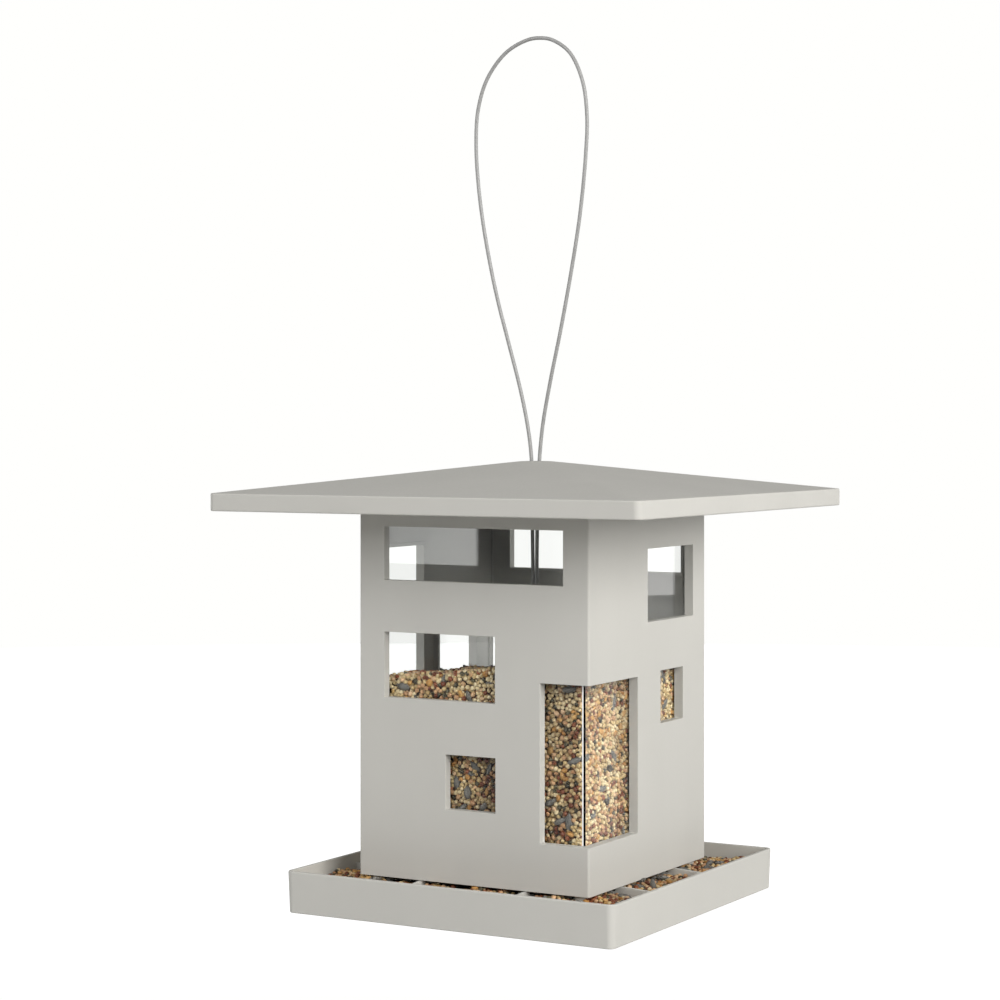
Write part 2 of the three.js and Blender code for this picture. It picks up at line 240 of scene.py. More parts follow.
def make_plastic(name, color):
    """Satin injection-moulded plastic: fine spark-eroded grain and faint tone drift."""
    shader = Shader(name)
    drift = shader.noise(7, detail=4, roughness=0.55)
    flow = shader.noise(26, detail=2, stretch=(1, 1, 0.25))
    grain = shader.noise(2100, detail=2, roughness=0.6)
    pits = shader.noise(620, roughness=0.6)
    base = shader.ramp(drift, [(0.3, scaled(color, 0.975)), (0.7, scaled(color, 1.02))])
    tint = shader.ramp(flow, [(0.3, (0.975, 0.975, 0.975)), (0.7, (1, 1, 1))])
    shader.color(shader.mix(base, tint, 1.0, "MULTIPLY"))
    shader.rough(pits, 0.4, 0.52)
    shader.bump((pits, 0.25, 0.00006), (grain, 0.2, 0.00003))
    shader.set(IOR=1.5, Specular_IOR_Level=0.42)
    return shader.material


def make_clear_plastic():
    """Clear polished styrene with the faintest waviness of a moulding."""
    shader = Shader("clear_styrene")
    wave = shader.noise(16, detail=1, stretch=(1, 1, 0.3))
    haze = shader.noise(55, detail=5, roughness=0.65)
    shader.color(shader.ramp(wave, [(0.3, (0.975, 0.985, 0.98)), (0.7, (0.99, 0.995, 0.99))]))
    shader.rough(haze, 0.0, 0.03, from_low=0.45, from_high=0.75)
    shader.bump((wave, 0.05, 0.0004))
    shader.set(IOR=1.49, Transmission_Weight=1.0, Specular_Tint=(0.25, 0.25, 0.25, 1))
    # Lamps shine straight through, so that they light the seed behind the panes.
    clear = shader.add("BsdfTransparent", Color=(0.83, 0.835, 0.83, 1))
    mix = shader.add("MixShader")
    shader.link((shader.add("LightPath"), "Is Shadow Ray"), mix, "Fac")
    shader.link((shader.bsdf, "BSDF"), mix, 1)
    shader.link((clear, "BSDF"), mix, 2)
    shader.link((mix, "Shader"), shader.output, "Surface")
    return shader.material


def make_cable_coat():
    """Grey plastic coat drawn over stranded wire."""
    shader = Shader("cable_coat")
    scuff = shader.noise(240, detail=4, roughness=0.6)
    fine = shader.noise(2600, detail=2)
    greys = [(0.3, (0.31, 0.31, 0.305)), (0.55, (0.34, 0.34, 0.335)), (0.75, (0.37, 0.37, 0.36))]
    shader.color(shader.ramp(scuff, greys))
    shader.rough(scuff, 0.28, 0.46)
    shader.bump((fine, 0.15, 0.00003))
    shader.set(IOR=1.5, Coat_Weight=0.15, Coat_Roughness=0.2)
    return shader.material


def make_metal(name, color, rough_low, rough_high, streak):
    """Plated or drawn metal, with streaks along the given stretch."""
    shader = Shader(name)
    streaks = shader.noise(420, detail=4, stretch=streak)
    blotch = shader.noise(160, detail=4, roughness=0.6)
    shader.color(shader.ramp(blotch, [(0.3, scaled(color, 0.86)), (0.7, scaled(color, 1.08))]))
    shader.rough(streaks, rough_low, rough_high)
    shader.bump((streaks, 0.2, 0.00003))
    shader.set(Metallic=1.0)
    return shader.material


def make_seed_coat(name, dark, middle, pale, middle_at, roughness, eye=None, stripe=None):
    """A seed coat, from dark to pale by each seed's own tone. An eye darkens one end."""
    shader = Shader(name)
    space = shader.attribute("seed_space", "Vector")
    mottle = shader.noise(900)
    patch = shader.noise(30, detail=2)
    color = shader.ramp(shader.attribute("tone", "Fac"), [(0, dark), (middle_at, middle), (1, pale)])
    mottling = shader.ramp(mottle, [(0.3, (0.82, 0.80, 0.77)), (0.7, (1, 1, 1))])
    color = shader.mix(color, mottling, 0.75, "MULTIPLY")
    patches = shader.ramp(patch, [(0.38, (0.62, 0.58, 0.56)), (0.52, (1, 1, 1))])
    color = shader.mix(color, patches, 0.85, "MULTIPLY")
    if stripe:
        wave = shader.add("TexWave", Scale=1.5, Distortion=2.2, Detail=2, Detail_Scale=1.2)
        wave.wave_type = "BANDS"
        wave.bands_direction = "Y"
        shader.link(space, wave, "Vector")
        band = shader.ramp((wave, "Fac"), [(0.42, (0, 0, 0)), (0.62, (1, 1, 1))])
        color = shader.mix(color, stripe, band)
    if eye:
        split = shader.add("SeparateXYZ")
        shader.link(space, split, "Vector")
        tip = shader.spread((split, "X"), 0, 1, from_low=0.82, from_high=0.97)
        color = shader.mix(color, eye, tip)
    shader.color(color)
    shader.set(Roughness=roughness, IOR=1.45, Specular_IOR_Level=0.4)
    shader.bump((mottle, 0.3, 0.00008))
    return shader.material


def make_seed_bed():
    """The seed that lies behind the outer layers, painted in shade: dark gaps between faint grains, with the gaps
    as painted shadow.
    """
    shader = Shader("seed_bed")
    cells = shader.add("TexVoronoi", Scale=330)
    shader.link(shader.place, cells, "Vector")
    # Dark brown that fades to near black at each cell's edge: painted shade of the deeper seed, and painted shadow
    # in the gaps between grains.
    painted_shade_stops = [(0.0, (0.22, 0.14, 0.07)), (0.45, (0.11, 0.065, 0.03)), (0.8, (0.03, 0.018, 0.009))]
    shade = shader.ramp((cells, "Distance"), painted_shade_stops)
    tint = shader.ramp((cells, "Color"), [(0.2, (0.7, 0.55, 0.45)), (0.8, (1.0, 1.0, 0.95))])
    shader.color(shader.mix(shade, tint, 1.0, "MULTIPLY"))
    shader.set(Roughness=0.8)
    shader.bump(((cells, "Distance"), 0.6, -0.001))
    return shader.material


HOUSE = make_plastic("house_plastic", (0.57, 0.562, 0.525))
DEFLECTOR = make_plastic("deflector_plastic", (0.36, 0.355, 0.33))
# A pale opaque plastic for the hopper's outer corners: a painted highlight that stands for the bright line where
# light catches the clear corner.
PAINTED_CORNER_HIGHLIGHT = make_plastic("painted_corner_highlight", (0.86, 0.86, 0.86))
CLEAR = make_clear_plastic()
CABLE = make_cable_coat()
ZINC = make_metal("zinc_plate", (0.60, 0.61, 0.63), 0.25, 0.42, (1, 1, 6))
ALUMINIUM = make_metal("pressed_aluminium", (0.76, 0.77, 0.78), 0.3, 0.5, (1, 1, 0.2))
SEED_BED_PAINTED_SHADE = make_seed_bed()
SEED_COATS = [
    make_seed_coat(
        "millet_coat", (0.36, 0.24, 0.10), (0.64, 0.48, 0.24), (0.93, 0.81, 0.54), 0.4, 0.42,
        eye=(0.30, 0.15, 0.06),
    ),
    make_seed_coat(
        "dari_coat", (0.38, 0.19, 0.09), (0.62, 0.38, 0.20), (0.86, 0.62, 0.40), 0.5, 0.45,
        eye=(0.22, 0.10, 0.05),
    ),
    make_seed_coat(
        "milo_coat", (0.13, 0.035, 0.014), (0.24, 0.075, 0.03), (0.38, 0.15, 0.06), 0.6, 0.38,
        eye=(0.06, 0.02, 0.01),
    ),
    make_seed_coat(
        "maize_chip", (0.38, 0.17, 0.04), (0.56, 0.30, 0.09), (0.72, 0.48, 0.20), 0.5, 0.5,
    ),
    make_seed_coat(
        "hemp_coat", (0.04, 0.035, 0.02), (0.09, 0.08, 0.045), (0.17, 0.155, 0.09), 0.6, 0.4,
    ),
    make_seed_coat(
        "sunflower_husk", (0.035, 0.035, 0.03), (0.0625, 0.0615, 0.055), (0.09, 0.088, 0.08), 0.5, 0.5,
        stripe=(0.22, 0.21, 0.19),
    ),
]


# ---- Mesh helpers ------------------------------------------------------------


def add_piece(mesh, body, materials, slot=None, replaced=None):
    """An object in the scene that rides on a body and may stand for a CAD node."""
    piece = bpy.data.objects.new(mesh.name, mesh)
    bpy.context.scene.collection.objects.link(piece)
    for material in materials:
        mesh.materials.append(material)
    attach(piece, body)
    if replaced:
        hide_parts(replaced)
    return piece


def add_moulding(*arguments):
    """A piece whose large flat faces set the shading, so that only its edges look round."""
    piece = add_piece(*arguments)
    modifier = piece.modifiers.new("even_normals", "WEIGHTED_NORMAL")
    modifier.mode = "FACE_AREA"
    modifier.weight = 100
    modifier.keep_sharp = True
    return piece


@contextmanager
def edited(mesh):
    """The mesh opened for editing, then written back."""
    work = bmesh.new()
    work.from_mesh(mesh)
    yield work
    work.to_mesh(mesh)
    work.free()


def face_outwards(work):
    bmesh.ops.recalc_face_normals(work, faces=work.faces)


def mesh_from(name, vertices, faces):
    mesh = bpy.data.meshes.new(name)
    mesh.from_pydata(np.array(vertices, float).tolist(), [], faces)
    return mesh


def soften(mesh, degrees=50):
    """Smooth shading, with creases kept where faces meet at more than this angle."""
    mesh.shade_smooth()
    mesh.set_sharp_from_angle(angle=math.radians(degrees))


def quads_between(low, high, count):
    """The faces between two rings of points that start at the numbers low and high."""
    return [(low + i, low + (i + 1) % count, high + (i + 1) % count, high + i) for i in range(count)]


def skinned(name, rings, closed=False):
    """A mesh through rings of points, capped unless the last ring meets the first."""
    count = len(rings[0])
    starts = [i * count for i in range(len(rings))]
    faces = []
    for low, high in zip(starts, starts[1:] + starts[:1] * closed):
        faces += quads_between(low, high, count)
    if not closed:
        faces += [tuple(reversed(range(count))), tuple(range(starts[-1], starts[-1] + count))]
    mesh = mesh_from(name, [point for ring in rings for point in ring], faces)
    with edited(mesh) as work:
        bmesh.ops.remove_doubles(work, verts=work.verts, dist=1e-6)
        bmesh.ops.dissolve_degenerate(work, edges=work.edges, dist=1e-7)
        face_outwards(work)
    return mesh


def merged(name, meshes):
    """Separate solids kept in one mesh."""
    result = bpy.data.meshes.new(name)
    with edited(result) as work:
        for mesh in meshes:
            work.from_mesh(mesh)
    return result


def rounded_square(half, radius, z, steps):
    """The points of a square with rounded corners. A radius equal to half gives a circle."""
    points = []
    for corner, (sign_x, sign_y) in enumerate(((1, 1), (-1, 1), (-1, -1), (1, -1))):
        for step in range(steps + 1):
            angle = (corner + step / steps) * math.pi / 2
            x = sign_x * (half - radius) + radius * math.cos(angle)
            y = sign_y * (half - radius) + radius * math.sin(angle)
            points.append((x, y, z))
    return points


def rounded_profile(points, closed, steps=4):
    """A line of (half, z, fillet) points with each corner turned into an arc."""
    result = []
    last = len(points) - 1
    for i, (half, z, fillet) in enumerate(points):
        here = np.array((half, z))
        if fillet <= 0 or not closed and i in (0, last):
            result.append(tuple(here))
            continue
        before = np.array(points[i - 1][:2]) - here
        after = np.array(points[(i + 1) % len(points)][:2]) - here
        long_before, long_after = np.linalg.norm(before), np.linalg.norm(after)
        before, after = before / long_before, after / long_after
        angle = math.acos(float(np.clip(before @ after, -1, 1)))
        reach = min(fillet / math.tan(angle / 2), 0.45 * long_before, 0.45 * long_after)
        start, end = here + before * reach, here + after * reach
        for t in np.linspace(0, 1, steps + 1):
            result.append(tuple((1 - t) ** 2 * start + 2 * t * (1 - t) * here + t * t * end))
    return result


def lofted(name, profile, plan_radius, corner_steps=8, closed=False):
    """A mesh through square sections; plan_radius gives a section's corner radius."""
    rings = [rounded_square(half, min(plan_radius(half), half), z, corner_steps) for half, z in profile]
    return skinned(name, rings, closed)


def lathed(name, profile, center=(0, 0), sides=32):
    """A round mesh from (radius, z) points. It closes on itself where it starts off the axis."""
    angles = 2 * math.pi * np.arange(sides) / sides
    circle = np.column_stack([np.cos(angles), np.sin(angles)])
    rings = [np.column_stack([center + radius * circle, np.full(sides, z)]) for radius, z in profile]
    return skinned(name, rings, closed=profile[0][0] > 0)


def cylinder(name, center, sides, *steps):
    """A stepped cylinder: each step is (radius, bottom, top), in mm above the tray's underside."""
    profile = [(0, up(steps[0][1]))]
    for radius, bottom, top in steps:
        profile += [(radius * MM, up(bottom)), (radius * MM, up(top))]
    profile.append((0, up(steps[-1][2])))
    return lathed(name, profile, center, sides)


def block_mesh(name, added, cut=()):
    """The outside of a union of boxes with other boxes cut away, as clean flat faces."""
    boxes = [*added, *cut]
    lines = [np.unique([round(corner[axis], 7) for box in boxes for corner in box]) for axis in range(3)]
    filled = np.zeros([len(line) - 1 for line in lines], bool)
    for value, group in ((True, added), (False, cut)):
        for box in group:
            spans = (np.searchsorted(lines[axis], [round(c[axis], 7) for c in box]) for axis in range(3))
            filled[tuple(slice(*span) for span in spans)] = value
    padded = np.pad(filled, 1).astype(np.int8)
    numbers, faces = {}, []
    for axis in range(3):
        first, second = (a for a in range(3) if a != axis)
        walls = np.diff(padded, axis=axis)
        for cell in np.argwhere(walls):
            loop = []
            for a, b in ((0, 0), (1, 0), (1, 1), (0, 1)):
                corner = cell.copy()
                corner[first] += a - 1
                corner[second] += b - 1
                loop.append(numbers.setdefault(tuple(corner), len(numbers)))
            # A wall that starts a solid and one that ends it run opposite ways round.
            forward = (walls[tuple(cell)] > 0) == (axis == 1)
            faces.append(loop if forward else loop[::-1])
    vertices = [[line[i] for line, i in zip(lines, corner)] for corner in numbers]
    mesh = mesh_from(name, vertices, faces)
    with edited(mesh) as work:
        bmesh.ops.dissolve_limit(work, angle_limit=math.radians(1), verts=work.verts, edges=work.edges)
        face_outwards(work)
    return mesh


def bevel_edges(mesh, chosen, width, segments):
    """Rounds the edges for which chosen(edge) is true."""
    with edited(mesh) as work:
        edges = [edge for edge in work.edges if len(edge.link_faces) == 2 and chosen(edge)]
        bmesh.ops.bevel(
            work, geom=edges, offset=width, offset_type="OFFSET", segments=segments,
            profile=0.5, affect="EDGES", clamp_overlap=True,
        )


def is_crease(edge):
    return edge.calc_face_angle(0) > math.radians(35)


def upright_corner(half):
    """A test for the upright edges where both x and y are this far from the axis."""
    def chosen(edge):
        a, b = (vertex.co for vertex in edge.verts)
        upright = abs((a - b).normalized().z) > 0.999
        return upright and all(abs(abs(value) - half) < 1e-6 for value in (*a.xy, *b.xy))

    return chosen


def turned(box, quarter_turns):
    """A box described on the front face, turned to another face."""
    (x0, y0, z0), (x1, y1, z1) = box
    for _ in range(quarter_turns % 4):
        x0, x1, y0, y1 = -y1, -y0, x0, x1
    return (x0, y0, z0), (x1, y1, z1)


def on_all_faces(box):
    return [turned(box, face) for face in range(4)]


def joined(name, mesh, others, operation):
    """A mesh with other closed meshes added or cut away, one boolean each."""
    helpers = [bpy.data.objects.new("helper", solid) for solid in (mesh, *others)]
    for helper in helpers:
        bpy.context.scene.collection.objects.link(helper)
    for other in helpers[1:]:
        modifier = helpers[0].modifiers.new("boolean", "BOOLEAN")
        modifier.operation = operation
        modifier.solver = "EXACT"
        modifier.object = other
    bpy.context.view_layer.update()
    graph = bpy.context.evaluated_depsgraph_get()
    result = bpy.data.meshes.new_from_object(helpers[0].evaluated_get(graph))
    result.name = name
    for helper in helpers:
        bpy.data.objects.remove(helper)
    return result


# ---- Cable -------------------------------------------------------------------

CABLE_DIAMETER = 0.0023
CABLE_SIDES = 18
CABLE_RING_STEP = 0.0012
STRANDS = 7
STRAND_DEPTH = 0.03
STRAND_PITCH = 0.016
ROOF_TRAVEL = frame["joints"][0]["range_m"][1]
SPLIT_MM = 264.6  # inside the roof's cable hole: the loop above it, the legs below
STRAIGHT_TOP_MM = 190.0  # the legs run side by side below this height
LEG_OVERLAP = 4 * CABLE_DIAMETER  # a moving leg still covers this much of the fixed one at full lift
MOVING_LEG_SWELL = 1.02  # a moving leg is this much thicker, so that it hides the fixed one

# One leg, the loop, then the other leg, as (x, height above the tray's underside).
CABLE_ROUTE = [
    (-0.0013, 0.0096), (-0.0013, 0.060), (-0.0013, 0.120), (-0.0013, 0.190),
    (-0.0015, 0.215), (-0.0019, 0.240), (-0.00275, 0.2665), (-0.0047, 0.283),
    (-0.0099, 0.307), (-0.0194, 0.340), (-0.0254, 0.3605), (-0.0309, 0.3825),
    (-0.0368, 0.412), (-0.0402, 0.437), (-0.0416, 0.460), (-0.0402, 0.481),
    (-0.0336, 0.4998), (-0.0206, 0.5147), (-0.006, 0.5213), (0.003, 0.522),
    (0.012, 0.520), (0.0236, 0.5116), (0.0322, 0.494), (0.0352, 0.473),
    (0.0344, 0.450), (0.0306, 0.415), (0.0249, 0.382), (0.0171, 0.344),
    (0.0102, 0.314), (0.0051, 0.288), (0.00275, 0.2665), (0.0019, 0.240),
    (0.0015, 0.215), (0.0013, 0.190), (0.0013, 0.120), (0.0013, 0.060),
    (0.0013, 0.0096),
]


def smooth_route(points, samples=24):
    """Points along a centripetal Catmull-Rom curve through the given points."""
    points = np.array(points, float)
    padded = np.vstack([2 * points[0] - points[1], points, 2 * points[-1] - points[-2]])
    result = []
    for start in range(len(points) - 1):
        four = padded[start:start + 4]
        gaps = np.linalg.norm(np.diff(four, axis=0), axis=1) ** 0.5
        knots = np.concatenate([[0], np.cumsum(gaps)])

        def between(a, b, low, high):
            share = (t - knots[low]) / (knots[high] - knots[low])
            return (1 - share) * a + share * b

        for t in np.linspace(knots[1], knots[2], samples, endpoint=False):
            chords = [between(four[i], four[i + 1], i, i + 1) for i in range(3)]
            bends = [between(chords[i], chords[i + 1], i, i + 2) for i in range(2)]
            result.append(between(*bends, 1, 2))
    result.append(points[-1])
    return np.array(result)


def run_along(line):
    """The distance from a line's start to each of its points."""
    return np.concatenate([[0], np.cumsum(np.linalg.norm(np.diff(line, axis=0), axis=1))])


def even_spacing(line, step):
    """The same line with points an equal distance apart."""
    run = run_along(line)
    at = np.linspace(0, run[-1], max(2, int(round(run[-1] / step)) + 1))
    return np.column_stack([np.interp(at, run, line[:, axis]) for axis in range(3)])


def cable_mesh(name, line, radius):
    """A tube along a line in the XZ plane, with the twist of its strands showing faintly."""
    tangent = np.gradient(line, axis=0)
    tangent /= np.linalg.norm(tangent, axis=1)[:, None]
    side = np.array([0.0, 1.0, 0.0])
    across = np.cross(tangent, side)[:, None, :]
    angles = 2 * math.pi * np.arange(CABLE_SIDES) / CABLE_SIDES
    twist = 2 * math.pi * run_along(line)[:, None] / STRAND_PITCH
    reach = radius * (1 - STRAND_DEPTH * np.abs(np.sin(STRANDS / 2 * (angles - twist))))
    sideways, outwards = (reach * np.cos(angles))[:, :, None], (reach * np.sin(angles))[:, :, None]
    mesh = skinned(name, line[:, None, :] + sideways * side + outwards * across)
    soften(mesh)
    return mesh


def add_cable(name, line, radius, body, replaced=None):
    return add_piece(cable_mesh(name, line, radius), body, [CABLE], "coated_cable", replaced)


def make_cable():
    flat = smooth_route(CABLE_ROUTE)
    line = np.column_stack([flat[:, 0], np.zeros(len(flat)), flat[:, 1] + GROUND])
    line = even_spacing(line, CABLE_RING_STEP / 4)
    split = up(SPLIT_MM)
    above = np.flatnonzero(line[:, 2] >= split)
    loop_line = even_spacing(line[above[0]:above[-1] + 1], CABLE_RING_STEP)
    radius = CABLE_DIAMETER / 2
    loop = add_cable("cable_loop", loop_line, radius, "base", "hanging_cable")
    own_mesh(loop)
    # Below the roof each leg is two pieces: one stays with the tray, the other goes up
    # with the roof and slides over the first, as the real legs slide through the hole.
    fixed_top = up(STRAIGHT_TOP_MM)
    moving_end = fixed_top - ROOF_TRAVEL - LEG_OVERLAP
    for side, leg in (("left", line[:above[0] + 1]), ("right", line[above[-1]:][::-1])):
        fixed = even_spacing(leg[leg[:, 2] <= fixed_top], 3 * CABLE_RING_STEP)
        add_cable(f"cable_leg_{side}", fixed, radius, "base")
        moving = even_spacing(leg[leg[:, 2] >= moving_end], 2 * CABLE_RING_STEP)
        add_cable(f"cable_leg_upper_{side}", moving, radius * MOVING_LEG_SWELL, "roof")


# ---- Roof --------------------------------------------------------------------

ROOF_SHEET = 2.5
ROOF_FASCIA = 10.4
APEX_FLAT = 6.5
CABLE_HOLE = 4.75
SKIRT_GAP = 0.5
SKIRT_WALL = 2.2
SKIRT_ABOVE_EDGE = 3.0
PAD_LENGTH = 11.5
PAD_HALF_WIDTH = 1.0
REST_GAP = 0.3  # pieces that rest on each other stay this far apart


def make_roof():
    half = ROOF_HIGH.x / MM
    bottom, apex = height_of(ROOF_LOW.z), height_of(ROOF_HIGH.z)
    edge = bottom + ROOF_FASCIA
    slope = (apex - edge) / (half - APEX_FLAT)
    inside = half - ROOF_SHEET
    skirt_inner = HOUSING_HIGH.x / MM + SKIRT_GAP
    skirt_outer = skirt_inner + SKIRT_WALL
    skirt_low = bottom + SKIRT_ABOVE_EDGE

    def above(distance):
        return apex - (distance - APEX_FLAT) * slope

    def under(distance):
        return above(distance) - ROOF_SHEET

    outline = [
        (CABLE_HOLE, apex, 0.7),
        (APEX_FLAT + 2, apex - 1.2 * slope, 3.0),
        (half / 2, above(half / 2), 0),
        (half, edge, 0.9),
        (half, bottom, 0.9),
        (inside, bottom, 0.5),
        (inside, under(inside), 1.2),
        (skirt_outer, under(skirt_outer), 0.8),
        (skirt_outer, skirt_low, 0.4),
        (skirt_inner, skirt_low, 0.4),
        (skirt_inner, under(skirt_inner), 0.8),
        (APEX_FLAT, apex - ROOF_SHEET, 1.0),
        (CABLE_HOLE, apex - ROOF_SHEET, 0.4),
    ]
    profile = [(h * MM, up(z)) for h, z in rounded_profile(outline, closed=True)]

    # The plan goes from the round cable hole to a square with rounded corners.
    distances = [0, CABLE_HOLE, 14, 60, inside - 1, inside, half]
    radii = [CABLE_HOLE, CABLE_HOLE, 6, 7, 5, 2.5, 4.5]

    def plan_radius(h):
        return float(np.interp(h / MM, distances, radii)) * MM

    mesh = lofted("roof_shell", profile, plan_radius, corner_steps=10, closed=True)
    soften(mesh)
    add_moulding(mesh, "roof", [HOUSE], "house_grey", "roof")
    reach = (skirt_inner + SKIRT_GAP) * MM
    width = PAD_HALF_WIDTH * MM
    pad = (
        (-width, -reach, HOUSING_HIGH.z + REST_GAP * MM),
        (width, -reach + PAD_LENGTH * MM, up(under(skirt_inner) + 1)),
    )
    mesh = block_mesh("roof_rest_pads", on_all_faces(pad))
    bevel_edges(mesh, is_crease, 0.25 * MM, 2)
    soften(mesh)
    add_moulding(mesh, "roof", [HOUSE], "house_grey")


# ---- Housing -----------------------------------------------------------------

HOUSING_WALL = 2.4
REVEAL_RIM = 2.0
PANE_GAP = 0.3
LUG = 11.0
LUG_RISE = 18.0
CORNER_RADIUS = 2.0
EDGE_RADIUS = 0.6


def read_windows():
    """Each window's opening, as a box, from the record's list of openings."""
    found = {}
    for opening in frame["record"]["physics"]["openings"]:
        kind, _, name = opening["name"].partition("_")
        if kind == "window":
            low, high = opening["box_m"]
            found[name] = (tuple(low), tuple(high))
    return found


WINDOWS = read_windows()


def plain_windows():
    """The windows in one face, as (face number, left, right, sill, head) seen from outside."""
    for name, box in WINDOWS.items():
        if not name.startswith("corner"):
            face = FACES.index(name.split("_")[0])
            (left, _, sill), (right, _, head) = turned(box, -face)
            yield face, left, right, sill, head


def make_housing():
    half = HOUSING_HIGH.x
    inside = half - HOUSING_WALL * MM
    pane = HOPPER_HIGH.x + PANE_GAP * MM
    outside = half + MM
    margin = OPENING_MARGIN
    rim = margin + REVEAL_RIM * MM
    low, high = HOUSING_LOW.z, HOUSING_HIGH.z
    added, cut = on_all_faces(((-half, -half, low), (half, -inside, high))), []
    for face, left, right, sill, head in plain_windows():
        reveal = (
            (max(left - rim, -inside), -inside - MM, sill - rim),
            (min(right + rim, inside), -pane, head + rim),
        )
        opening = ((left - margin, -outside, sill - margin), (right + margin, -pane + MM, head + margin))
        added.append(turned(reveal, face))
        cut.append(turned(opening, face))
    # The corner window: two boxes that meet at the front right corner.
    (start, _, sill), (_, _, head) = WINDOWS["corner_front"]
    end = WINDOWS["corner_right"][1][1]
    added.append(((start - rim, -inside - MM, sill - rim), (inside + MM, -pane, head + rim)))
    added.append(((pane, -inside - MM, sill - rim), (inside + MM, end + rim, head + rim)))
    cut.append(((start - margin, -outside, sill - margin), (outside, -pane + MM, head + margin)))
    cut.append(((pane - MM, -outside, sill - margin), (outside, end + margin, head + margin)))
    lug_end = inside - LUG * MM
    added += on_all_faces(((lug_end, -inside, low), (inside, -lug_end, low + LUG_RISE * MM)))
    mesh = block_mesh("housing_shell", added, cut)
    bevel_edges(mesh, upright_corner(half), CORNER_RADIUS * MM, 6)
    bevel_edges(mesh, is_crease, EDGE_RADIUS * MM, 3)
    soften(mesh)
    add_moulding(mesh, "base", [HOUSE], "house_grey", "housing")


# ---- Clear hopper ------------------------------------------------------------

HOPPER_WALL = 2.0
HOPPER_CORNER = 1.6
HOPPER_EDGE = 0.3
LUG_CLEARANCE = 0.6
PAINTED_HIGHLIGHT_REACH = 0.85  # the painted corner highlight ends where the corner turns further than this cosine


def make_hopper():
    half = HOPPER_HIGH.x
    inner = half - HOPPER_WALL * MM
    low, high = HOPPER_LOW.z, HOPPER_HIGH.z
    notch = HOUSING_HIGH.x - (HOUSING_WALL + LUG + LUG_CLEARANCE) * MM
    notch_top = HOUSING_LOW.z + (LUG_RISE + LUG_CLEARANCE) * MM
    bore = ((-inner, -inner, low - MM), (inner, inner, high + MM))
    notches = on_all_faces(((notch, -half - MM, low - MM), (half + MM, -notch, notch_top)))
    mesh = block_mesh("hopper_tube", [((-half, -half, low), (half, half, high))], [bore, *notches])
    bevel_edges(mesh, upright_corner(half), HOPPER_CORNER * MM, 6)
    bevel_edges(mesh, is_crease, HOPPER_EDGE * MM, 2)
    # The outer corner faces get the pale opaque plastic: a painted highlight in place of the clear corner's own
    # glint.
    for polygon in mesh.polygons:
        x, y, _ = polygon.center
        on_corner = min(abs(x), abs(y)) > half - HOPPER_CORNER * MM
        if on_corner and abs(polygon.normal.x) > 0.05 and abs(polygon.normal.y) > PAINTED_HIGHLIGHT_REACH:
            polygon.material_index = 1
    soften(mesh)
    add_moulding(mesh, "base", [CLEAR, PAINTED_CORNER_HIGHLIGHT], "clear_plastic", "clear_hopper")


# ---- Tray --------------------------------------------------------------------

TRAY_WALL = 2.4
TRAY_FLOOR = 2.4
TRAY_DRAFT = 1.0
TRAY_CORNER = 5.0
RIB_OFFSET = 35.0
RIB_HALF_THICKNESS = 1.0
RIB_INNER_END = 60.0
RIB_OUTER_HEIGHT = 18.6
RIB_SOFTENING = 0.3
BOSS_RADIUS = 16.0
BOSS_WALL = 2.4
POCKET_DEPTH = 11.0
LEG_HOLE = 3.2
POST_RADIUS = 4.6
HEAD_HOLE = 3.2
HEAD_SEAT = 12.0
SHANK_HOLE = 1.9


def rib_mesh(offset, face):
    """One rib across the seed channel, with softened top edges."""
    outer = TRAY_HIGH.x / MM - TRAY_WALL / 2
    lug_rest = height_of(HOUSING_LOW.z) - REST_GAP
    hopper_rest = height_of(HOPPER_LOW.z) - REST_GAP
    lug_step, hopper_step = (high.x / MM + 1.5 for high in (HOUSING_HIGH, HOPPER_HIGH))
    outline = [
        (RIB_INNER_END, TRAY_FLOOR / 2), (outer - TRAY_DRAFT, TRAY_FLOOR / 2), (outer, RIB_OUTER_HEIGHT),
        (lug_step, lug_rest), (hopper_step, lug_rest), (hopper_step, hopper_rest),
        (RIB_INNER_END, hopper_rest),
    ]
    flank = RIB_HALF_THICKNESS
    crown = flank - RIB_SOFTENING
    turn = Matrix.Rotation(face * math.pi / 2, 3, "Z")
    rings = []
    for across, drop in ((-flank, RIB_SOFTENING), (-crown, 0), (crown, 0), (flank, RIB_SOFTENING)):
        heights = [height - (drop if height > TRAY_FLOOR else 0) for _, height in outline]
        ring = [turn @ Vector((offset + across, -out, height)) for (out, _), height in zip(outline, heights)]
        rings.append([(x * MM, y * MM, up(z)) for x, y, z in ring])
    return skinned("rib", rings)


def screw_center(name):
    low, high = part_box(name)
    return (low.x + high.x) / 2, (low.y + high.y) / 2


